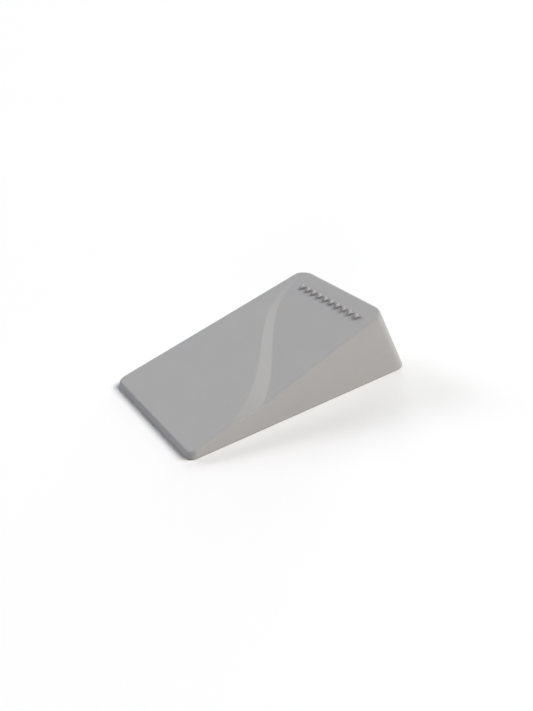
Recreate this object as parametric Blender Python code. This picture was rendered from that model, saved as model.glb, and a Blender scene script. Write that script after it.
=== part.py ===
"""Wedge door stop, moulded in grey rubber.

The ramp climbs from a thin nose at -X to a leaning rear face at +X. An S-shaped line divides it. Left of the line
is the full ramp; right of it a shallow facet drops to a deck, which falls away from the ramp towards the nose.
A non-slip sole is pressed into the underside on six pegs, and a row of plain chevrons stands on the deck.

Metres, +Z up. The origin is on the floor, at the centre of the footprint.
"""

import math

import bmesh
import bpy
import numpy as np
from mathutils import Vector
from mathutils.geometry import delaunay_2d_cdt

MM = 0.001

# The moulded wedge
LENGTH = 120 * MM
WIDTH = 66 * MM
HEIGHT = 32.5 * MM
NOSE_HEIGHT = 3.15 * MM
SIDE_DRAFT = 0.12
REAR_LEAN = 0.485
NOSE_LEAN = 0.2
REAR_CORNER = 6.8 * MM
NOSE_CORNER = 3.8 * MM
RIM_RADIUS = 1.3 * MM
FOOT_ROUND = 0.5 * MM

# The S-shaped line, the facet beside it and the deck below it
S_MID_X = -4.8 * MM
S_MID_Y = -3.0 * MM
S_HALF_SPREAD = 32.8 * MM
S_REACH = 27.8 * MM
FACET_SLOPE = 0.30
STEP_AT_REAR = 0.4 * MM
STEP_GROWTH = 0.0245

# Clearance between neighbouring pieces
GAP = 0.3 * MM

# The sole, let into the underside
SOLE_NOSE_MARGIN = 10 * MM
SOLE_MARGIN = 5 * MM
SOLE_THICKNESS = 2.0 * MM
SOLE_CORNER = 3.5 * MM
PEG_RADIUS = 3.0 * MM
PEG_HEIGHT = 4.2 * MM
PEG_XS = (-26 * MM, 6 * MM, 38 * MM)
PEG_Y = 16 * MM
GROOVE_WIDTH = 1.2 * MM
GROOVE_DEPTH = 0.8 * MM
GROOVE_PITCH = 5.0 * MM
GROOVE_COUNT = 19

# The raised chevrons on the deck
MARK_COUNT = 10
MARK_PITCH = 4.25 * MM
MARK_ROW_X = 34.8 * MM
MARK_ROW_Y = -2.6 * MM
MARK_LENGTH = 4.5 * MM
MARK_WIDTH = 3.3 * MM
MARK_STROKE = 1.9 * MM
MARK_PROUD = 1.0 * MM
MARK_SEAT = 0.5 * MM
MARK_EDGE = 0.15 * MM

NOSE_TOP_X = -LENGTH / 2 + NOSE_LEAN * (NOSE_HEIGHT - FOOT_ROUND)
REAR_TOP_X = LENGTH / 2 - REAR_LEAN * (HEIGHT - FOOT_ROUND)
RAMP_SLOPE = (HEIGHT - NOSE_HEIGHT) / (REAR_TOP_X - NOSE_TOP_X)
DECK_SLOPE = RAMP_SLOPE + STEP_GROWTH


# ---------------------------------------------------------------- surfaces


def ramp_z(x):
    return NOSE_HEIGHT + RAMP_SLOPE * (x - NOSE_TOP_X)


def deck_z(x):
    return ramp_z(x) - STEP_AT_REAR - STEP_GROWTH * (REAR_TOP_X - x)


def s_line_y(x):
    return S_MID_Y + S_HALF_SPREAD * np.tanh((x - S_MID_X) / S_REACH)


S_XS = np.linspace(-0.75 * LENGTH, 0.6 * LENGTH, 4001)
S_YS = s_line_y(S_XS)


def right_of_line(x, y):
    """How far the plan point lies to the right of the S-shaped line, negative on its left."""
    distance = np.hypot(S_XS - x, S_YS - y).min()
    return distance if y < s_line_y(x) else -distance


def top_z(x, y):
    beside = right_of_line(x, y)
    if beside <= 0:
        return ramp_z(x)
    return max(deck_z(x), ramp_z(x) - FACET_SLOPE * beside)


def facet_width(x):
    return (ramp_z(x) - deck_z(x)) / FACET_SLOPE


# ---------------------------------------------------------------- outline of the wedge
# A station is a number from 0 to 8 running anticlockwise in plan. Its whole part picks a corner (even) or a side
# (odd), starting with the rear-left corner, and the rest is the way along it.

CORNERS = ((1, 1), (-1, 1), (-1, -1), (1, -1))


def outline(station, z, inset=0.0):
    """The plan point and outward direction of the wall at this station and height."""
    above_foot = max(z - FOOT_ROUND, 0)
    nose = -LENGTH / 2 + NOSE_LEAN * above_foot + inset
    rear = LENGTH / 2 - REAR_LEAN * above_foot - inset
    side = WIDTH / 2 - SIDE_DRAFT * above_foot - inset

    def arc_point(corner, turn):
        sx, sy = CORNERS[corner % 4]
        radius = (REAR_CORNER if sx > 0 else NOSE_CORNER) - inset
        centre = ((rear - radius) if sx > 0 else (nose + radius), sy * (side - radius))
        angle = math.radians(90 * (corner % 4 + turn))
        out = Vector((math.cos(angle), math.sin(angle)))
        return Vector(centre) + radius * out, out

    part, along = int(station) % 8, station % 1
    if part % 2 == 0:
        return arc_point(part // 2, along)
    start, out = arc_point(part // 2, 1)
    end, _ = arc_point(part // 2 + 1, 0)
    return start.lerp(end, along), out


def sharp_corner(station):
    """Where the wall would meet the top if nothing were rounded."""
    z = HEIGHT / 2
    for _ in range(30):
        point, out = outline(station, z)
        z = top_z(*point)
    return Vector((*point, z)), out


def rim_curve(station):
    """The rounded rim at this station, from the top surface round to the wall."""
    corner, out = sharp_corner(station)
    inner = Vector((corner.x - RIM_RADIUS * out.x, corner.y - RIM_RADIUS * out.y))
    rise = (corner.z - top_z(*inner)) / RIM_RADIUS
    over = Vector((out.x, out.y, rise)).normalized()
    below, _ = outline(station, corner.z - RIM_RADIUS)
    down = Vector((below.x - corner.x, below.y - corner.y, -RIM_RADIUS)).normalized()
    half_turn = over.angle(down) / 2
    tangent = RIM_RADIUS * math.tan(half_turn)
    first, last, weight = corner - tangent * over, corner + tangent * down, math.cos(half_turn)
    first.z = top_z(first.x, first.y)
    points = []
    for t in (0, 0.25, 0.5, 0.75, 1):
        a, b, c = (1 - t) ** 2, 2 * weight * t * (1 - t), t * t
        points.append((a * first + b * corner + c * last) / (a + b + c))
    return points


def crossing(low, high, beyond):
    """The station between low and high where the top of the rim crosses a line."""
    low_side = beyond(low) > 0
    for _ in range(40):
        middle = (low + high) / 2
        if (beyond(middle) > 0) == low_side:
            low = middle
        else:
            high = middle
    return (low + high) / 2


def past_line(station):
    point = rim_curve(station)[0]
    return right_of_line(point.x, point.y)


def past_facet(station):
    point = rim_curve(station)[0]
    return right_of_line(point.x, point.y) - facet_width(point.x)


def stations():
    steps = (6, 4, 6, 6, 6, 34, 6, 14)
    numbers = [part + k / count for part, count in enumerate(steps) for k in range(count)]
    crossings = []
    for beyond in (past_line, past_facet):
        sides = [beyond(number) > 0 for number in numbers]
        for i, number in enumerate(numbers):
            following = numbers[(i + 1) % len(numbers)] + (8 if i + 1 == len(numbers) else 0)
            if sides[i] != sides[(i + 1) % len(numbers)]:
                crossings.append(crossing(number, following, beyond) % 8)
    kept = [n for n in numbers if all(abs(n - c) > 0.004 for c in crossings)]
    return sorted(kept + crossings), crossings


# ---------------------------------------------------------------- objects


def clear_scene():
    for obj in list(bpy.data.objects):
        bpy.data.objects.remove(obj, do_unlink=True)


def make_material(name, colour, roughness):
    material = bpy.data.materials.new(name)
    material.use_nodes = True
    shader = material.node_tree.nodes["Principled BSDF"]
    shader.inputs["Base Color"].default_value = (*colour, 1)
    shader.inputs["Roughness"].default_value = roughness
    shader.inputs["Metallic"].default_value = 0
    material.diffuse_color = (*colour, 1)
    return material


def make_object(name, bm, material=None, smooth_below=0.0):
    bmesh.ops.recalc_face_normals(bm, faces=bm.faces)
    mesh = bpy.data.meshes.new(name)
    bm.to_mesh(mesh)
    bm.free()
    if smooth_below:
        mesh.shade_smooth()
        mesh.set_sharp_from_angle(angle=math.radians(smooth_below))
    obj = bpy.data.objects.new(name, mesh)
    bpy.context.scene.collection.objects.link(obj)
    if material:
        mesh.materials.append(material)
    else:
        obj.hide_render = True
        obj.display_type = "WIRE"
    return obj


def add_boolean(obj, operation, other):
    modifier = obj.modifiers.new(f"{operation.lower()}_{other.name}", "BOOLEAN")
    modifier.operation = operation
    modifier.solver = "EXACT"
    modifier.object = other


def bridge(bm, ring_a, ring_b):
    count = len(ring_a)
    for i in range(count):
        j = (i + 1) % count
        bm.faces.new((ring_a[i], ring_a[j], ring_b[j], ring_b[i]))


def add_prism(bm, rings):
    """A closed solid through rings of equally many points, flat at both ends."""
    loops = [[bm.verts.new(point) for point in ring] for ring in rings]
    for lower, upper in zip(loops, loops[1:]):
        bridge(bm, lower, upper)
    bm.faces.new(list(reversed(loops[0])))
    bm.faces.new(loops[-1])


def rounded_rectangle(low_x, high_x, half_y, radius, steps=6):
    points = []
    for k, (sx, sy) in enumerate(CORNERS):
        centre_x = high_x - radius if sx > 0 else low_x + radius
        for step in range(steps + 1):
            angle = math.radians(90 * (k + step / steps))
            points.append(
                (centre_x + radius * math.cos(angle), sy * (half_y - radius) + radius * math.sin(angle))
            )
    return points


def circle(x, y, radius, steps=24):
    angles = [2 * math.pi * k / steps for k in range(steps)]
    return [(x + radius * math.cos(a), y + radius * math.sin(a)) for a in angles]


def at_height(points, z):
    return [(x, y, z) for x, y in points]


# ---------------------------------------------------------------- the wedge


def line_on_top(offset_at, ends, rim):
    """Plan points of the S-shaped line moved to the right by offset_at(x), between two points of the rim."""
    inside = []
    for x in np.linspace(NOSE_TOP_X, REAR_TOP_X, 61):
        slope = (s_line_y(x + MM) - s_line_y(x - MM)) / (2 * MM)
        right = Vector((slope, -1)).normalized()
        point = Vector((x, s_line_y(x)))
        moved = point
        for _ in range(8):
            moved = point + right * float(offset_at(moved.x))
        if min((moved - end).length for end in ends) > 1.2 * MM and within(moved, rim, 0.8 * MM):
            inside.append(moved)
    if (inside[0] - ends[0]).length > (inside[0] - ends[1]).length:
        ends = ends[::-1]
    return [ends[0], *inside, ends[1]]


def within(point, rim, margin):
    """Whether a plan point lies inside the convex rim by at least the margin."""
    for a, b in zip(rim, rim[1:] + rim[:1]):
        edge = b - a
        if edge.length and (edge.x * (point.y - a.y) - edge.y * (point.x - a.x)) / edge.length < margin:
            return False
    return True


def make_top(bm, rim_verts, rim, crossings):
    """Triangles over the top, with edges along the S-shaped line and along the foot of its facet."""
    ends = {kind: [rim[i] for i in crossings[kind]] for kind in ("line", "facet")}
    curves = (
        line_on_top(lambda x: 0.0, ends["line"], rim),
        line_on_top(facet_width, ends["facet"], rim),
    )
    points = list(rim)
    edges = [(i, (i + 1) % len(rim)) for i in range(len(rim))]
    for curve in curves:
        numbers = [rim.index(curve[0])]
        for point in curve[1:-1]:
            numbers.append(len(points))
            points.append(point)
        numbers.append(rim.index(curve[-1]))
        edges += list(zip(numbers, numbers[1:]))
    _, _, faces, origins, _, _ = delaunay_2d_cdt(points, edges, [], 1, 1e-7)
    verts = []
    for source in origins:
        number = source[0]
        if number < len(rim):
            verts.append(rim_verts[number])
        else:
            x, y = points[number]
            verts.append(bm.verts.new((x, y, top_z(x, y))))
    for face in faces:
        bm.faces.new([verts[i] for i in face])


def make_wedge(material):
    numbers, crossed = stations()
    bm = bmesh.new()
    columns = [rim_curve(number) for number in numbers]
    rings = [[bm.verts.new(column[k]) for column in columns] for k in range(len(columns[0]))]
    for z, inset in ((FOOT_ROUND, 0.0), (0.15 * FOOT_ROUND, 0.45 * FOOT_ROUND), (0.0, FOOT_ROUND)):
        rings.append([bm.verts.new((*outline(number, z, inset)[0], z)) for number in numbers])
    for upper, lower in zip(rings, rings[1:]):
        bridge(bm, lower, upper)
    bm.faces.new(list(reversed(rings[-1])))
    found = [numbers.index(number) for number in crossed]
    rim = [column[0].xy for column in columns]
    make_top(bm, rings[0], rim, {"line": found[:2], "facet": found[2:]})
    return make_object("wedge_body", bm, material, smooth_below=14)


# ---------------------------------------------------------------- the sole


def sole_plan(extra=0.0):
    return rounded_rectangle(
        -LENGTH / 2 + SOLE_NOSE_MARGIN - extra,
        LENGTH / 2 - SOLE_MARGIN + extra,
        WIDTH / 2 - SOLE_MARGIN + extra,
        SOLE_CORNER + extra,
    )


def peg_centres():
    return [(x, side * PEG_Y) for x in PEG_XS for side in (1, -1)]


def make_sole(material):
    bm = bmesh.new()
    add_prism(bm, [at_height(sole_plan(), z) for z in (0.0, SOLE_THICKNESS)])
    sole = make_object("sole_pad", bm, material, smooth_below=30)

    bm = bmesh.new()
    tip = SOLE_THICKNESS + PEG_HEIGHT
    for x, y in peg_centres():
        add_prism(
            bm,
            [
                at_height(circle(x, y, PEG_RADIUS), SOLE_THICKNESS / 2),
                at_height(circle(x, y, PEG_RADIUS), tip - 0.5 * MM),
                at_height(circle(x, y, PEG_RADIUS - 0.5 * MM), tip),
            ],
        )
    add_boolean(sole, "UNION", make_object("sole_pegs", bm))

    bm = bmesh.new()
    middle = (SOLE_NOSE_MARGIN - SOLE_MARGIN) / 2
    for k in range(GROOVE_COUNT):
        x = middle + (k - (GROOVE_COUNT - 1) / 2) * GROOVE_PITCH
        half, wide = GROOVE_WIDTH / 2, WIDTH / 2
        plan = [(x - half, -wide), (x + half, -wide), (x + half, wide), (x - half, wide)]
        add_prism(bm, [at_height(plan, -MM), at_height(plan, GROOVE_DEPTH)])
    add_boolean(sole, "DIFFERENCE", make_object("tread_grooves", bm))
    return sole


def cut_underside(wedge):
    bm = bmesh.new()
    add_prism(bm, [at_height(sole_plan(GAP), z) for z in (-MM, SOLE_THICKNESS + GAP)])
    add_boolean(wedge, "DIFFERENCE", make_object("sole_recess", bm))
    bm = bmesh.new()
    top = SOLE_THICKNESS + PEG_HEIGHT + GAP
    for x, y in peg_centres():
        add_prism(bm, [at_height(circle(x, y, PEG_RADIUS + GAP), z) for z in (MM, top)])
    add_boolean(wedge, "DIFFERENCE", make_object("peg_sockets", bm))


# ---------------------------------------------------------------- the chevrons


def chevron(grow=0.0):
    """Plan of one chevron that points down the ramp, as (up the ramp, across) points, moved outwards by grow."""
    half_length, half_width = MARK_LENGTH / 2, MARK_WIDTH / 2
    points = [
        (-half_length, 0.0),
        (half_length - MARK_STROKE, -half_width),
        (half_length, -half_width),
        (-half_length + MARK_STROKE, 0.0),
        (half_length, half_width),
        (half_length - MARK_STROKE, half_width),
    ]
    moved = []
    for before, here, after in zip(points[-1:] + points[:-1], points, points[1:] + points[:1]):
        here, before, after = Vector(here), Vector(before), Vector(after)
        into, out_of = (here - before).normalized(), (after - here).normalized()
        first, second = Vector((into.y, -into.x)), Vector((out_of.y, -out_of.x))
        corner = (first + second) / (1 + first.dot(second))
        moved.append(here + grow * corner)
    return moved


def on_deck(centre_y, up, across, above):
    along = Vector((1, 0, DECK_SLOPE)).normalized()
    normal = Vector((-DECK_SLOPE, 0, 1)).normalized()
    origin = Vector((MARK_ROW_X, centre_y, deck_z(MARK_ROW_X)))
    return origin + up * along + Vector((0, across, 0)) + above * normal


def mark_ys():
    return [MARK_ROW_Y + (k - (MARK_COUNT - 1) / 2) * MARK_PITCH for k in range(MARK_COUNT)]


def mark_prism(bm, centre_y, levels):
    add_prism(
        bm,
        [[on_deck(centre_y, *point, above) for point in chevron(grow)] for above, grow in levels],
    )


def make_marks(material):
    for number, centre_y in enumerate(mark_ys(), 1):
        bm = bmesh.new()
        levels = ((-MARK_SEAT, 0.0), (MARK_PROUD - MARK_EDGE, 0.0), (MARK_PROUD, -MARK_EDGE))
        mark_prism(bm, centre_y, levels)
        make_object(f"raised_chevron_{number:02d}", bm, material)


def cut_pockets(wedge):
    bm = bmesh.new()
    for centre_y in mark_ys():
        mark_prism(bm, centre_y, ((-MARK_SEAT - GAP, GAP), (2 * MM, GAP)))
    add_boolean(wedge, "DIFFERENCE", make_object("mark_pockets", bm))


clear_scene()
body_rubber = make_material("body_rubber", (0.42, 0.42, 0.42), 0.7)
sole_rubber = make_material("sole_rubber", (0.10, 0.10, 0.105), 0.75)
wedge_body = make_wedge(body_rubber)
cut_underside(wedge_body)
cut_pockets(wedge_body)
make_sole(sole_rubber)
make_marks(body_rubber)
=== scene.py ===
"""Looks of the wedge door stop: fine meshes for the moulded wedge, its raised chevrons and its ribbed sole,
rubber materials, a pale floor, soft studio light and the camera. Metres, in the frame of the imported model."""

import math

import bmesh
import bpy
import numpy as np
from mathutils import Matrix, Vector
from mathutils.geometry import delaunay_2d_cdt


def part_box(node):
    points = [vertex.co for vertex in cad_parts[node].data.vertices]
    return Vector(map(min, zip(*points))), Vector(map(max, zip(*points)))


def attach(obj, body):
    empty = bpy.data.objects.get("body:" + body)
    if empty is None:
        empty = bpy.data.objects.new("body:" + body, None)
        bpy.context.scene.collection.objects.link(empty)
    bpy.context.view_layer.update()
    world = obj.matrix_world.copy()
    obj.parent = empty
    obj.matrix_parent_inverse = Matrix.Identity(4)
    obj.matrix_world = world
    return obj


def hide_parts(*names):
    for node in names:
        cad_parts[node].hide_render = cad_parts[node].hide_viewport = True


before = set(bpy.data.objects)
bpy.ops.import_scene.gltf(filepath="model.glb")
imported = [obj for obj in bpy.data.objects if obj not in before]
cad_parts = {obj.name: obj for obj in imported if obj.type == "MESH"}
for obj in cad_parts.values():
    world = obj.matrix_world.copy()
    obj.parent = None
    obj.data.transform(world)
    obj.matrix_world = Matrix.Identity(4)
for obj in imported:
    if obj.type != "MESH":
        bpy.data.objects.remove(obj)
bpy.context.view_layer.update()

MM = 0.001

# The wedge. Its footprint comes from the frame, the rest is the design's. The height is the one before the
# rim is rounded, and a draft or lean is how far a wall moves inwards for each unit of height.
wedge_low, wedge_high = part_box("wedge_body")
LENGTH = wedge_high.x - wedge_low.x
WIDTH = wedge_high.y - wedge_low.y
HEIGHT = 32.5 * MM
NOSE_HEIGHT = 3.15 * MM
SIDE_DRAFT = 0.12
REAR_LEAN = 0.485
NOSE_LEAN = 0.2
REAR_CORNER = 6.8 * MM
NOSE_CORNER = 3.8 * MM
RIM_RADIUS = 1.3 * MM
FOOT_ROUND = 0.5 * MM

# The S-shaped line in plan, the facet to its right and the deck below the facet
S_MID_X = -4.8 * MM
S_MID_Y = -3.0 * MM
S_HALF_SPREAD = 32.8 * MM
S_REACH = 27.8 * MM
FACET_SLOPE = 0.30
STEP_AT_REAR = 0.4 * MM
STEP_GROWTH = 0.0245

# Every kink is rounded this far to both sides, and a short flat beyond it keeps the faces' shading level.
EASE = 0.3 * MM
HOLD = 0.2 * MM

# The sole and its pegs, and the recess and sockets that take them
sole_low, sole_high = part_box("sole_pad")
SOLE_THICKNESS = 2.0 * MM
SOLE_CORNER = 3.5 * MM
SOLE_ROUND = 0.25 * MM
PEG_XS = (-26 * MM, 6 * MM, 38 * MM)
PEG_Y = 16 * MM
PEG_PLACES = [(x, y) for x in PEG_XS for y in (PEG_Y, -PEG_Y)]
PEG_RADIUS = 3.0 * MM
PEG_ROUND = 0.5 * MM
GAP = 0.3 * MM
RECESS_LIP = 0.15 * MM

# The sole's tread
GROOVE_COUNT = 19
GROOVE_PITCH = 5.0 * MM
GROOVE_DEPTH = 0.8 * MM
GROOVE_FLOOR = 0.9 * MM
GROOVE_MOUTH = 1.5 * MM

# The chevrons
MARK_LENGTH = 4.5 * MM
MARK_WIDTH = 3.3 * MM
MARK_STROKE = 1.9 * MM
MARK_PROUD = 1.0 * MM
MARK_SEAT = 0.4 * MM
MARK_CORNER = 0.28 * MM
MARK_FILLET = 0.15 * MM
MARK_DRAFT = 0.06 * MM
MARK_TOP_ROUND = 0.22 * MM
SHARPEST_CORNER = 0.02 * MM

# Fineness of the meshes: steps along each part of an outline or each rounded edge
OUTLINE_CORNER_STEPS = 14
OUTLINE_SIDE_STEPS = {"left": 24, "nose": 14, "right": 60, "rear": 24}
RIM_STEPS = 8
FOOT_STEPS = 4
ARC_STEPS = 8
SOLE_ROUND_STEPS = 4
GROOVE_SIDE_STEPS = 5
MARK_CORNER_STEPS = 5
MARK_FILLET_STEPS = 3
MARK_TOP_STEPS = 5

NOSE_TOP_X = -LENGTH / 2 + NOSE_LEAN * (NOSE_HEIGHT - FOOT_ROUND)
REAR_TOP_X = LENGTH / 2 - REAR_LEAN * (HEIGHT - FOOT_ROUND)
RAMP_SLOPE = (HEIGHT - NOSE_HEIGHT) / (REAR_TOP_X - NOSE_TOP_X)
DECK_SLOPE = RAMP_SLOPE + STEP_GROWTH


# ---------------------------------------------------------------- the top surface


def ramp_z(x):
    return NOSE_HEIGHT + RAMP_SLOPE * (x - NOSE_TOP_X)


def step_height(x):
    return STEP_AT_REAR + STEP_GROWTH * (REAR_TOP_X - x)


def facet_width(x):
    return step_height(x) / FACET_SLOPE


def deck_z(x):
    return ramp_z(x) - step_height(x)


def s_line_y(x):
    return S_MID_Y + S_HALF_SPREAD * np.tanh((x - S_MID_X) / S_REACH)


# Points of the line, from well before the nose to a little past the rear
S_SAMPLES = 3001
S_XS = np.linspace(-0.75 * LENGTH, 0.6 * LENGTH, S_SAMPLES)
S_YS = s_line_y(S_XS)


def right_of_line(x, y):
    """How far the plan point lies to the right of the S-shaped line, negative on its left."""
    nearest = int(np.hypot(S_XS - x, S_YS - y).argmin())
    nearest = min(max(nearest, 1), len(S_XS) - 2)
    start = Vector((S_XS[nearest - 1], S_YS[nearest - 1]))
    end = Vector((S_XS[nearest + 1], S_YS[nearest + 1]))
    along = (end - start).normalized()
    return along.x * (start.y - y) - along.y * (start.x - x)


def eased(distance, width):
    """The distance past an edge, with the edge itself rounded over this width each way."""
    if distance <= -width:
        return 0.0
    if distance >= width:
        return distance
    return (distance + width) ** 2 / (4 * width)


def top_z(x, y):
    beside = right_of_line(x, y)
    fall = eased(beside, EASE) - eased(beside - facet_width(x), EASE)
    return ramp_z(x) - FACET_SLOPE * fall


# ---------------------------------------------------------------- rounded edges


def quarter_turn(steps):
    """Angles from 0 to a right angle."""
    return [math.pi / 2 * k / steps for k in range(steps + 1)]


def arc(first, corner, last, half_turn, steps):
    """Points of the circular arc from first to last whose two end tangents meet in the corner."""
    weight = math.cos(half_turn)
    points = []
    for k in range(steps + 1):
        t = k / steps
        a, b, c = (1 - t) ** 2, 2 * weight * t * (1 - t), t * t
        points.append((a * first + b * corner + c * last) / (a + b + c))
    return points


# ---------------------------------------------------------------- outline of the wedge
# A station is a number from 0 to 8 running anticlockwise in plan. Its whole part picks a corner (even) or a
# side (odd), starting with the rear-left corner, and the rest is the way along it.

PARTS = 8

# Signs of x and y at the rear-left, nose-left, nose-right and rear-right corners
CORNERS = ((1, 1), (-1, 1), (-1, -1), (1, -1))

# Rounds after which the meeting of wall and top no longer moves
SETTLING_ROUNDS = 14


def outline(station, z, inset=0.0):
    """The plan point and outward direction of the wall at this station and height."""
    above_foot = max(z - FOOT_ROUND, 0)
    nose = -LENGTH / 2 + NOSE_LEAN * above_foot + inset
    rear = LENGTH / 2 - REAR_LEAN * above_foot - inset
    side = WIDTH / 2 - SIDE_DRAFT * above_foot - inset

    def arc_point(corner, turn):
        sx, sy = CORNERS[corner % 4]
        radius = (REAR_CORNER if sx > 0 else NOSE_CORNER) - inset
        centre = ((rear - radius) if sx > 0 else (nose + radius), sy * (side - radius))
        angle = math.radians(90 * (corner % 4 + turn))
        out = Vector((math.cos(angle), math.sin(angle)))
        return Vector(centre) + radius * out, out

    part, along = int(station) % PARTS, station % 1
    if part % 2 == 0:
        return arc_point(part // 2, along)
    start, out = arc_point(part // 2, 1)
    end, _ = arc_point(part // 2 + 1, 0)
    return start.lerp(end, along), out


def sharp_corner(station):
    """Where the wall would meet the top if nothing were rounded, and the wall's outward direction."""
    z = HEIGHT / 2
    for _ in range(SETTLING_ROUNDS):
        point, out = outline(station, z)
        z = top_z(*point)
    return Vector((*point, z)), out


def rim_curve(station):
    """The rounded rim at this station, from the top round to the wall, with a short flat at each end."""
    corner, out = sharp_corner(station)
    inner = Vector((corner.x - RIM_RADIUS * out.x, corner.y - RIM_RADIUS * out.y))
    rise = (corner.z - top_z(*inner)) / RIM_RADIUS
    over = Vector((out.x, out.y, rise)).normalized()
    below, _ = outline(station, corner.z - RIM_RADIUS)
    down = Vector((below.x - corner.x, below.y - corner.y, -RIM_RADIUS)).normalized()
    half_turn = over.angle(down) / 2
    tangent = RIM_RADIUS * math.tan(half_turn)
    first = corner - tangent * over
    last = corner + tangent * down
    first.z = top_z(first.x, first.y)
    flat = first - HOLD * over
    flat.z = top_z(flat.x, flat.y)
    return [flat, *arc(first, corner, last, half_turn, RIM_STEPS), last + HOLD * down]


def foot_curve(station):
    """The wall's last stretch, round into the underside, with a short flat at each end."""
    curve = [(FOOT_ROUND + HOLD, 0.0)]
    for turn in quarter_turn(FOOT_STEPS):
        curve.append((FOOT_ROUND * (1 - math.sin(turn)), FOOT_ROUND * (1 - math.cos(turn))))
    curve.append((0.0, FOOT_ROUND + HOLD))
    return [Vector((*outline(station, z, inset)[0], z)) for z, inset in curve]


# ---------------------------------------------------------------- mesh tools

# Points nearer to each other than this become one when a plan is filled.
SAME_POINT = 1e-8


def finish_mesh(name, bm, sharp_above=180.0):
    """A smooth-shaded object from the mesh, with edges left sharp where faces meet above this angle."""
    bmesh.ops.recalc_face_normals(bm, faces=bm.faces)
    mesh = bpy.data.meshes.new(name)
    bm.to_mesh(mesh)
    bm.free()
    mesh.shade_smooth()
    if sharp_above < 180:
        mesh.set_sharp_from_angle(angle=math.radians(sharp_above))
    obj = bpy.data.objects.new(name, mesh)
    bpy.context.scene.collection.objects.link(obj)
    return obj


def bridge(bm, rings):
    """Faces between each ring of vertices and the next."""
    for ring_a, ring_b in zip(rings, rings[1:]):
        for i, _ in enumerate(ring_a):
            j = (i + 1) % len(ring_a)
            bm.faces.new((ring_a[i], ring_a[j], ring_b[j], ring_b[i]))


def clear_inside(point, loop, margin=0.0):
    """Whether a plan point lies inside a closed loop and at least the margin away from it."""
    starts = np.array(loop)
    ends = np.roll(starts, -1, axis=0)
    here = np.array(point)
    edges = ends - starts
    along = np.clip(((here - starts) * edges).sum(axis=1) / (edges * edges).sum(axis=1), 0, 1)
    nearest = np.hypot(*(starts + along[:, None] * edges - here).T).min()
    spans = (starts[:, 1] > here[1]) != (ends[:, 1] > here[1])
    starts, edges = starts[spans], edges[spans]
    passed = starts[:, 0] + (here[1] - starts[:, 1]) * edges[:, 0] / edges[:, 1] > here[0]
    return passed.sum() % 2 == 1 and nearest >= margin


def fill_plan(bm, loops, height, curves=()):
    """Triangles over the plan inside the first loop and outside the others, with edges along the curves.

    Loops are lists of vertices. A curve is its first vertex, a list of plan points and its last vertex, and
    both vertices are the first loop's."""
    points, sources, edges = [], [], []
    for loop in loops:
        first = len(points)
        points += [vert.co.xy for vert in loop]
        sources += loop
        edges += [(first + i, first + (i + 1) % len(loop)) for i in range(len(loop))]
    for start, inside, end in curves:
        numbers = [sources.index(start)]
        for point in inside:
            numbers.append(len(points))
            points.append(point)
            sources.append(None)
        numbers.append(sources.index(end))
        edges += list(zip(numbers, numbers[1:]))
    _, _, faces, origins, _, _ = delaunay_2d_cdt(points, edges, [], 1, SAME_POINT)
    verts = []
    for origin in origins:
        number = origin[0]
        x, y = points[number]
        verts.append(sources[number] or bm.verts.new((x, y, height(x, y))))
    holes = [[vert.co.xy for vert in loop] for loop in loops[1:]]
    for face in faces:
        corners = [verts[i] for i in face]
        middle = sum((vert.co.xy for vert in corners), Vector((0, 0))) / len(corners)
        if not any(clear_inside(middle, hole) for hole in holes):
            bm.faces.new(corners)


def ring(bm, points, z):
    return [bm.verts.new((x, y, z)) for x, y in points]


def circle(x, y, radius, steps=32):
    angles = [2 * math.pi * k / steps for k in range(steps)]
    return [(x + radius * math.cos(a), y + radius * math.sin(a)) for a in angles]


def rounded_rectangle(low_x, high_x, half_y, radius):
    """Plan points with an arc at each corner, in the order of CORNERS."""
    points = []
    for k, (sx, sy) in enumerate(CORNERS):
        centre_x = high_x - radius if sx > 0 else low_x + radius
        centre_y = sy * (half_y - radius)
        for step in range(ARC_STEPS + 1):
            angle = math.radians(90 * (k + step / ARC_STEPS))
            points.append((centre_x + radius * math.cos(angle), centre_y + radius * math.sin(angle)))
    return points


# ---------------------------------------------------------------- the wedge

# Distances from each of the two kinks, the S-shaped line and the facet's foot, at which the mesh has an edge
KINK_OFFSETS = (-EASE - HOLD, -EASE, -EASE / 2, 0.0, EASE / 2, EASE, EASE + HOLD)

# How the edges along the kinks are found and kept apart from what is near them
HALVINGS = 30
OFFSET_ROUNDS = 8
OFFSET_SAMPLES = 121
STATION_SPACING = 0.003
END_CLEARANCE = 0.5 * MM
RIM_CLEARANCE = 0.05 * MM


def line_offsets():
    """Functions of x, each the distance of one mesh edge to the right of the S-shaped line."""
    beside_line = [lambda x, d=d: d for d in KINK_OFFSETS]
    beside_foot = [lambda x, d=d: facet_width(x) + d for d in KINK_OFFSETS]
    return beside_line + beside_foot


def beyond(station, offset):
    """How far the start of the rim lies beyond the S-shaped line moved to the right by offset(x)."""
    start = rim_curve(station)[0]
    return right_of_line(start.x, start.y) - offset(start.x)


def crossing(low, high, offset):
    """The station between low and high where the start of the rim crosses the moved line."""
    low_side = beyond(low, offset) > 0
    for _ in range(HALVINGS):
        middle = (low + high) / 2
        if (beyond(middle, offset) > 0) == low_side:
            low = middle
        else:
            high = middle
    return (low + high) / 2


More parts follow.
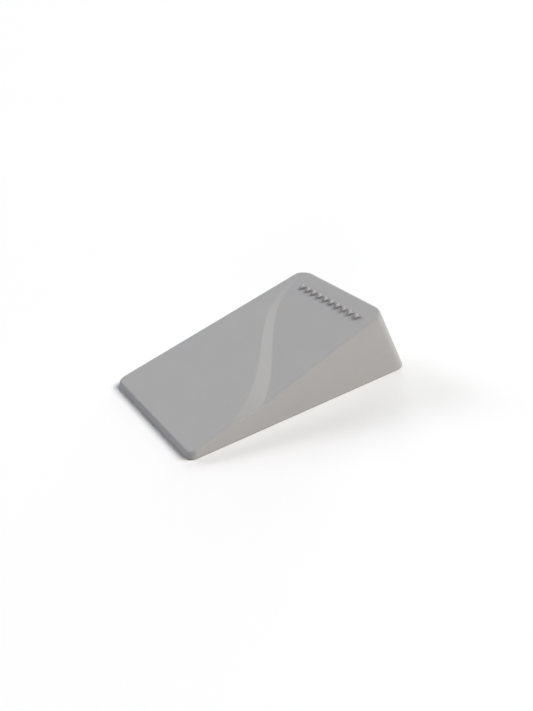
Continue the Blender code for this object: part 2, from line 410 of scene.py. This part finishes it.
def stations():
    """All stations of the wedge's mesh, and for each moved S-shaped line the two where it meets the rim."""
    steps = [count for side in OUTLINE_SIDE_STEPS.values() for count in (OUTLINE_CORNER_STEPS, side)]
    numbers = [part + k / count for part, count in enumerate(steps) for k in range(count)]
    starts = [rim_curve(number)[0] for number in numbers]
    pairs = []
    for offset in line_offsets():
        sides = [right_of_line(p.x, p.y) > offset(p.x) for p in starts]
        found = []
        for i, number in enumerate(numbers):
            following = (i + 1) % len(numbers)
            if sides[i] != sides[following]:
                found.append(crossing(number, numbers[following] or PARTS, offset) % PARTS)
        pairs.append(found)
    crossings = [number for pair in pairs for number in pair]
    kept = [n for n in numbers if all(abs(n - c) > STATION_SPACING for c in crossings)]
    return sorted(kept + crossings), pairs


def offset_line(offset, ends, rim):
    """Plan points of the S-shaped line moved to the right by offset(x), clear of the rim and of both ends."""
    inside = []
    for x in np.linspace(NOSE_TOP_X, REAR_TOP_X, OFFSET_SAMPLES):
        slope = (s_line_y(x + MM / 4) - s_line_y(x - MM / 4)) / (MM / 2)
        right = Vector((slope, -1)).normalized()
        point = Vector((x, s_line_y(x)))
        moved = point
        for _ in range(OFFSET_ROUNDS):
            moved = point + right * float(offset(moved.x))
        clear_of_ends = min((moved - end).length for end in ends) > END_CLEARANCE
        if clear_of_ends and clear_inside(moved, rim, RIM_CLEARANCE):
            inside.append(moved)
    return inside


def recess_plan(margin):
    """Plan of the sole, larger by the margin all round."""
    return rounded_rectangle(
        sole_low.x - margin, sole_high.x + margin, sole_high.y + margin, SOLE_CORNER + margin
    )


def make_underside(bm, foot):
    """The flat under-rim inside the foot, the recess that takes the sole, and the sockets for its pegs."""
    ceiling = SOLE_THICKNESS + GAP
    mouth = ring(bm, recess_plan(GAP + RECESS_LIP), 0.0)
    fill_plan(bm, [foot, mouth], lambda x, y: 0.0)
    walls = [mouth, ring(bm, recess_plan(GAP), RECESS_LIP), ring(bm, recess_plan(GAP), ceiling)]
    bridge(bm, walls)
    sockets = []
    for x, y in PEG_PLACES:
        plan = circle(x, y, PEG_RADIUS + GAP)
        socket = [ring(bm, plan, ceiling), ring(bm, plan, sole_high.z + GAP)]
        bridge(bm, socket)
        bm.faces.new(socket[-1])
        sockets.append(socket[0])
    fill_plan(bm, [walls[-1], *sockets], lambda x, y: ceiling)


def make_wedge():
    numbers, pairs = stations()
    bm = bmesh.new()
    columns = [rim_curve(number) + foot_curve(number) for number in numbers]
    rings = [[bm.verts.new(column[k]) for column in columns] for k in range(len(columns[0]))]
    bridge(bm, rings[::-1])
    rim = [column[0].xy for column in columns]
    curves = []
    for offset, pair in zip(line_offsets(), pairs):
        found = [numbers.index(number) for number in pair]
        inside = offset_line(offset, [rim[i] for i in found], rim)
        start, end = (rings[0][i] for i in found)
        if (inside[0] - start.co.xy).length > (inside[0] - end.co.xy).length:
            start, end = end, start
        curves.append((start, inside, end))
    fill_plan(bm, [rings[0]], top_z, curves)
    make_underside(bm, rings[-1])
    return finish_mesh("moulded_wedge", bm, sharp_above=50)


# ---------------------------------------------------------------- the sole

SOLE_MIDDLE = (sole_low.x + sole_high.x) / 2
GROOVE_XS = [SOLE_MIDDLE + (k - (GROOVE_COUNT - 1) / 2) * GROOVE_PITCH for k in range(GROOVE_COUNT)]

# Distances from a groove's middle at which its sides have an edge, and the x of all these edges
GROOVE_SIDE = [
    GROOVE_FLOOR / 2 + k / GROOVE_SIDE_STEPS * (GROOVE_MOUTH - GROOVE_FLOOR) / 2
    for k in range(GROOVE_SIDE_STEPS + 1)
]
TREAD_EDGES = sorted(x + side * reach for x in GROOVE_XS for reach in GROOVE_SIDE for side in (1, -1))


def tread_z(x):
    """The underside's height: flat ribs parted by grooves whose sides are S-shaped slopes."""
    beside = min(abs(x - groove) for groove in GROOVE_XS)
    along = (GROOVE_MOUTH / 2 - beside) / (GROOVE_MOUTH / 2 - GROOVE_FLOOR / 2)
    along = min(max(along, 0.0), 1.0)
    return GROOVE_DEPTH * along * along * (3 - 2 * along)


def sole_outline(inset):
    """Plan of the sole moved inwards by inset, with a point wherever a tread edge meets a long side."""
    arcs = rounded_rectangle(
        sole_low.x + inset, sole_high.x - inset, sole_high.y - inset, SOLE_CORNER - inset
    )
    quarter = ARC_STEPS + 1
    half_y = sole_high.y - inset
    left = [(x, half_y) for x in reversed(TREAD_EDGES)]
    right = [(x, -half_y) for x in TREAD_EDGES]
    return arcs[:quarter] + left + arcs[quarter : 3 * quarter] + right + arcs[3 * quarter :]


def tread_curves(tread):
    """The tread's straight edges, each from a vertex on the left side of the outline to one on the right."""
    quarter, count = ARC_STEPS + 1, len(TREAD_EDGES)
    left = tread[quarter : quarter + count]
    right = tread[3 * quarter + count : 3 * quarter + 2 * count]
    return [(start, [], end) for start, end in zip(left, reversed(right))]


def add_peg(bm, x, y):
    """One peg on the sole's upper face. Gives the ring of vertices at its root."""
    rings = [ring(bm, circle(x, y, PEG_RADIUS), SOLE_THICKNESS)]
    for turn in quarter_turn(SOLE_ROUND_STEPS):
        radius = PEG_RADIUS - PEG_ROUND * (1 - math.cos(turn))
        rings.append(ring(bm, circle(x, y, radius), sole_high.z - PEG_ROUND * (1 - math.sin(turn))))
    bridge(bm, rings)
    bm.faces.new(rings[-1])
    return rings[0]


def make_sole():
    bm = bmesh.new()
    rings = []
    for turn in quarter_turn(SOLE_ROUND_STEPS):
        plan = sole_outline(SOLE_ROUND * (1 - math.sin(turn)))
        rise = SOLE_ROUND * (1 - math.cos(turn))
        rings.append([bm.verts.new((x, y, tread_z(x) + rise)) for x, y in plan])
    for turn in quarter_turn(SOLE_ROUND_STEPS):
        plan = sole_outline(SOLE_ROUND * (1 - math.cos(turn)))
        rings.append(ring(bm, plan, SOLE_THICKNESS - SOLE_ROUND * (1 - math.sin(turn))))
    bridge(bm, rings)
    fill_plan(bm, [rings[0]], lambda x, y: tread_z(x), tread_curves(rings[0]))
    roots = [add_peg(bm, x, y) for x, y in PEG_PLACES]
    fill_plan(bm, [rings[-1], *roots], lambda x, y: SOLE_THICKNESS)
    return finish_mesh("ribbed_sole", bm, sharp_above=50)


# ---------------------------------------------------------------- the chevrons


def rounded_outline(points, radius, inset):
    """A closed outline moved inwards by inset, with every corner turned into an arc.

    Outer corners lose the inset from their radius and inner corners gain it, so the arcs stay concentric."""
    result = []
    for before, here, after in zip(points[-1:] + points[:-1], points, points[1:] + points[:1]):
        before, here, after = Vector(before), Vector(here), Vector(after)
        into, out_of = (here - before).normalized(), (after - here).normalized()
        half_turn = into.angle(out_of) / 2
        outer = into.x * out_of.y - into.y * out_of.x > 0
        bend = max(radius - inset, SHARPEST_CORNER) if outer else radius + inset
        left_in, left_out = Vector((-into.y, into.x)), Vector((-out_of.y, out_of.x))
        corner = here + inset * (left_in + left_out) / (1 + left_in.dot(left_out))
        back = bend * math.tan(half_turn)
        result += arc(corner - back * into, corner, corner + back * out_of, half_turn, MARK_CORNER_STEPS)
    return result


def chevron_levels():
    """Height above the deck and inset of each ring of a chevron: a skirt below the deck, a small root fillet,
    a drafted side and a rounded top edge."""
    levels = [(-MARK_SEAT, -MARK_FILLET), (0.0, -MARK_FILLET)]
    for turn in quarter_turn(MARK_FILLET_STEPS)[1:]:
        levels.append((MARK_FILLET * (1 - math.cos(turn)), -MARK_FILLET * (1 - math.sin(turn))))
    for turn in quarter_turn(MARK_TOP_STEPS):
        height = MARK_PROUD - MARK_TOP_ROUND * (1 - math.sin(turn))
        levels.append((height, MARK_DRAFT + MARK_TOP_ROUND * (1 - math.cos(turn))))
    return levels


def make_chevron(name, node):
    """One chevron on the deck, centred where its CAD node is."""
    low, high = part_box(node)
    middle = (low + high) / 2
    along = Vector((1, 0, DECK_SLOPE)).normalized()
    normal = Vector((-DECK_SLOPE, 0, 1)).normalized()
    reach = (deck_z(middle.x) - middle.z) / (normal.z - DECK_SLOPE * normal.x)
    origin = middle + reach * normal
    half_length, half_width = MARK_LENGTH / 2, MARK_WIDTH / 2
    plan = [
        (-half_length, 0.0),
        (half_length - MARK_STROKE, -half_width),
        (half_length, -half_width),
        (-half_length + MARK_STROKE, 0.0),
        (half_length, half_width),
        (half_length - MARK_STROKE, half_width),
    ]
    bm = bmesh.new()
    rings = []
    for height, inset in chevron_levels():
        points = rounded_outline(plan, MARK_CORNER, inset)
        rings.append(
            [bm.verts.new(origin + x * along + Vector((0, y, 0)) + height * normal) for x, y in points]
        )
    bridge(bm, rings)
    bm.faces.new(rings[-1])
    bm.faces.new(list(reversed(rings[0])))
    return finish_mesh(name, bm, sharp_above=60)


# ---------------------------------------------------------------- materials

# Sizes of the rubber's features, and the heights of the two that are bumps
CLOUD_SIZE = 14 * MM
PATCH_SIZE = 3 * MM
WAVE_SIZE = 16 * MM
WAVE_HEIGHT = 0.05 * MM
GRAIN_SIZE = 0.35 * MM
GRAIN_HEIGHT = 0.04 * MM
ROUGHNESS_SPREAD = 0.05

# Most of a noise texture's output lies between these two values.
NOISE_LOW = 0.3
NOISE_HIGH = 0.7

BODY_DARK = (0.405, 0.405, 0.406)
BODY_LIGHT = (0.415, 0.415, 0.416)
SOLE_DARK = (0.085, 0.085, 0.09)
SOLE_LIGHT = (0.115, 0.115, 0.12)
FLOOR_DARK = (0.88, 0.88, 0.88)
FLOOR_LIGHT = (0.895, 0.895, 0.895)
FLOOR_CLOUD_SIZE = 400 * MM


class Nodes:
    """A short way to build a material's node tree."""

    def __init__(self, name):
        self.material = bpy.data.materials.new(name)
        self.material.use_nodes = True
        self.tree = self.material.node_tree
        self.shader = self.tree.nodes["Principled BSDF"].inputs
        self.place = self.add("ShaderNodeTexCoord").outputs["Object"]

    def add(self, kind, **inputs):
        node = self.tree.nodes.new(kind)
        for key, value in inputs.items():
            node.inputs[key.replace("_", " ")].default_value = value
        return node

    def link(self, output, target):
        self.tree.links.new(output, target)

    def noise(self, size, detail, roughness=0.5):
        """A noise whose features are about this many metres wide."""
        node = self.add("ShaderNodeTexNoise", Scale=1 / size, Detail=detail, Roughness=roughness)
        self.link(self.place, node.inputs["Vector"])
        return node.outputs["Fac"]

    def spread(self, noise, low, high):
        """The noise, stretched to run from low to high."""
        node = self.add(
            "ShaderNodeMapRange", From_Min=NOISE_LOW, From_Max=NOISE_HIGH, To_Min=low, To_Max=high
        )
        self.link(noise, node.inputs["Value"])
        return node.outputs["Result"]

    def blend_colours(self, factor, first, second):
        node = self.tree.nodes.new("ShaderNodeMix")
        node.data_type = "RGBA"
        node.inputs["A"].default_value = (*first, 1)
        node.inputs["B"].default_value = (*second, 1)
        self.link(factor, node.inputs["Factor"])
        return node.outputs["Result"]

    def bump(self, height, distance, strength, under=None):
        node = self.add("ShaderNodeBump", Strength=strength, Distance=distance)
        self.link(height, node.inputs["Height"])
        if under:
            self.link(under, node.inputs["Normal"])
        return node.outputs["Normal"]


def moulded_rubber(name, dark, light, roughness):
    """Matt moulded rubber: faint clouding, patches of slightly different roughness, a slow waviness from the
    mould and a fine eroded grain."""
    nodes = Nodes(name)
    clouds = nodes.spread(nodes.noise(CLOUD_SIZE, detail=3), 0.0, 1.0)
    nodes.link(nodes.blend_colours(clouds, dark, light), nodes.shader["Base Color"])
    patches = nodes.noise(PATCH_SIZE, detail=4, roughness=0.6)
    varied = nodes.spread(patches, roughness - ROUGHNESS_SPREAD, roughness + ROUGHNESS_SPREAD)
    nodes.link(varied, nodes.shader["Roughness"])
    waves = nodes.bump(nodes.noise(WAVE_SIZE, detail=1), WAVE_HEIGHT, strength=0.4)
    fine = nodes.noise(GRAIN_SIZE, detail=3, roughness=0.55)
    grained = nodes.bump(fine, GRAIN_HEIGHT, strength=0.8, under=waves)
    nodes.link(grained, nodes.shader["Normal"])
    nodes.shader["IOR"].default_value = 1.5
    nodes.shader["Specular IOR Level"].default_value = 0.3
    return nodes.material


def plain_floor():
    nodes = Nodes("pale_floor")
    clouds = nodes.noise(FLOOR_CLOUD_SIZE, detail=2)
    nodes.link(nodes.blend_colours(clouds, FLOOR_DARK, FLOOR_LIGHT), nodes.shader["Base Color"])
    nodes.shader["Roughness"].default_value = 0.9
    nodes.shader["Specular IOR Level"].default_value = 0.2
    return nodes.material


# ---------------------------------------------------------------- stage

# The floor reaches far beyond every view and lies a hair below the sole, so that their faces don't coincide.
FLOOR_REACH = 30.0
FLOOR_DROP = 0.02 * MM

# Tints of the lights
AMBER = (1.0, 0.74, 0.25)
WARM = (1.0, 0.9, 0.8)
WHITE = (1.0, 1.0, 1.0)
COOL = (0.9, 0.9, 1.0)
PALE_BLUE = (0.75, 0.9, 1.0)
BLUE = (0.5, 0.75, 1.0)

# Name, azimuth from +X, elevation, strength and tint of each softbox. Angles and the size are in degrees.
SOFTBOX_SIZE = 20
SOFTBOXES = (
    ("rear_right_high", 315, 54, 0.34, WARM),
    ("rear_right", 320, 38, 0.23, AMBER),
    ("rear", 340, 38, 0.45, COOL),
    ("rear_high", 345, 54, 0.26, BLUE),
    ("rear_left_low", 30, 14, 0.26, PALE_BLUE),
    ("rear_left", 60, 30, 0.2, WHITE),
    ("left", 100, 30, 0.1, WHITE),
    ("front_left", 120, 30, 0.3, COOL),
    ("front_low", 230, 5, 0.19, COOL),
)

# The surround's strength as the camera sees it, and as a light on everything else
SURROUND_SEEN = 1.0
SURROUND_LIGHT = 0.005

# The photograph's view. The camera looks along the azimuth and down by the tilt, in degrees, and its lens and
# sensor are in millimetres.
CAMERA_PLACE = (-145.89 * MM, -202.23 * MM, 160.82 * MM)
CAMERA_AZIMUTH = 54.13
CAMERA_TILT = 31.04
CAMERA_LENS = 32.2
CAMERA_SENSOR = 36
CAMERA_NEAR = 10 * MM


def make_floor():
    bm = bmesh.new()
    plan = [(sx * FLOOR_REACH, sy * FLOOR_REACH) for sx, sy in CORNERS]
    bm.faces.new(ring(bm, plan, -FLOOR_DROP))
    floor = finish_mesh("floor", bm)
    floor.data.materials.append(plain_floor())


def distant_softbox(name, azimuth, elevation, strength, tint):
    """A large soft light far away, so that the whole floor gets the same light."""
    data = bpy.data.lights.new(name, "SUN")
    data.angle = math.radians(SOFTBOX_SIZE)
    data.energy = math.pi * strength
    data.color = tint
    light = bpy.data.objects.new(name, data)
    turn, rise = math.radians(azimuth), math.radians(elevation)
    towards = Vector((math.cos(turn) * math.cos(rise), math.sin(turn) * math.cos(rise), math.sin(rise)))
    light.location = towards
    light.rotation_euler = towards.to_track_quat("Z", "Y").to_euler()
    bpy.context.scene.collection.objects.link(light)


def make_lights():
    for name, azimuth, elevation, strength, tint in SOFTBOXES:
        distant_softbox(name, azimuth, elevation, strength, tint)


def make_backdrop():
    """A white surround beyond the floor. It gives the object almost no light of its own."""
    world = bpy.data.worlds.new("studio")
    world.use_nodes = True
    tree = world.node_tree
    background = tree.nodes["Background"]
    background.inputs["Color"].default_value = (1, 1, 1, 1)
    strength = tree.nodes.new("ShaderNodeMapRange")
    strength.inputs["To Min"].default_value = SURROUND_LIGHT
    strength.inputs["To Max"].default_value = SURROUND_SEEN
    rays = tree.nodes.new("ShaderNodeLightPath")
    tree.links.new(rays.outputs["Is Camera Ray"], strength.inputs["Value"])
    tree.links.new(strength.outputs["Result"], background.inputs["Strength"])
    bpy.context.scene.world = world


def make_camera():
    data = bpy.data.cameras.new("camera")
    data.sensor_width = CAMERA_SENSOR
    data.lens = CAMERA_LENS
    data.clip_start = CAMERA_NEAR
    camera = bpy.data.objects.new("camera", data)
    camera.location = CAMERA_PLACE
    camera.rotation_euler = (math.radians(90 - CAMERA_TILT), 0, math.radians(CAMERA_AZIMUTH - 90))
    bpy.context.scene.collection.objects.link(camera)
    bpy.context.scene.camera = camera


# ---------------------------------------------------------------- assembly

body_rubber = moulded_rubber("body_rubber_fine", BODY_DARK, BODY_LIGHT, roughness=0.8)
sole_rubber = moulded_rubber("sole_rubber_fine", SOLE_DARK, SOLE_LIGHT, roughness=0.75)

wedge = make_wedge()
wedge.data.materials.append(body_rubber)
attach(wedge, "root")
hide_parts("wedge_body")

chevron_nodes = sorted(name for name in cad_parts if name.startswith("raised_chevron_"))
for chevron_node in chevron_nodes:
    chevron = make_chevron(chevron_node.replace("raised_", "moulded_"), chevron_node)
    chevron.data.materials.append(body_rubber)
    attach(chevron, "root")
    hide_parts(chevron_node)

sole = make_sole()
sole.data.materials.append(sole_rubber)
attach(sole, "root")
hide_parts("sole_pad")

make_floor()
make_lights()
make_backdrop()
make_camera()
bpy.context.scene.view_settings.view_transform = "Standard"
